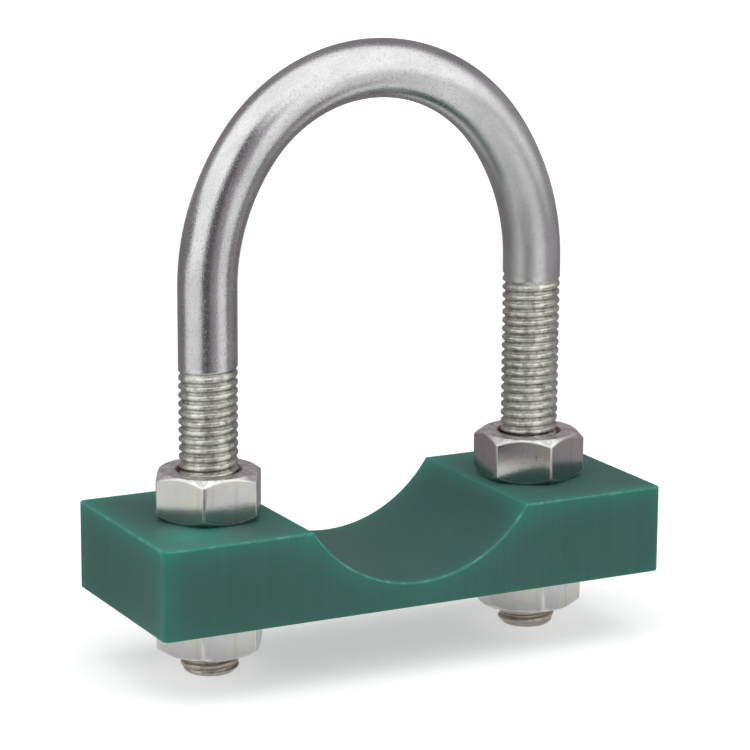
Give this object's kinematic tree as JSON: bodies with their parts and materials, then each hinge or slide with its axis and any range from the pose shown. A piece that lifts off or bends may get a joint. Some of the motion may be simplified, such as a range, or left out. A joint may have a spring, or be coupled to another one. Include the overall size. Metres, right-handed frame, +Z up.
{
  "type": "u-bolt pipe clamp",
  "caption": "U-shaped pipe clamp: a bent round steel bar with threaded legs, nutted through a green plastic saddle block with a curved pipe seat.",
  "frame": {"origin": "middle of the saddle block's underside, the face that bears on the supporting steel", "axes": "+X from the left leg to the right leg, +Y along the pipe, +Z up from the block's underside towards the arch"},
  "size_m": [0.0944, 0.0364, 0.1059],
  "materials": {
    "bolt_steel": "bright zinc plate, drawn and bent bar, cut threads",
    "nut_steel": "bright zinc plate over fine vertical machining lines",
    "saddle_plastic": "sawn engineering plastic, waxy, slightly see-through at its edges"
  },
  "bodies": {
    "root": {"u_bolt": "bolt_steel", "saddle_block": "saddle_plastic", "upper_nut_left": "nut_steel", "upper_nut_right": "nut_steel", "lower_nut_left": "nut_steel", "lower_nut_right": "nut_steel"}
  },
  "joints": []
}
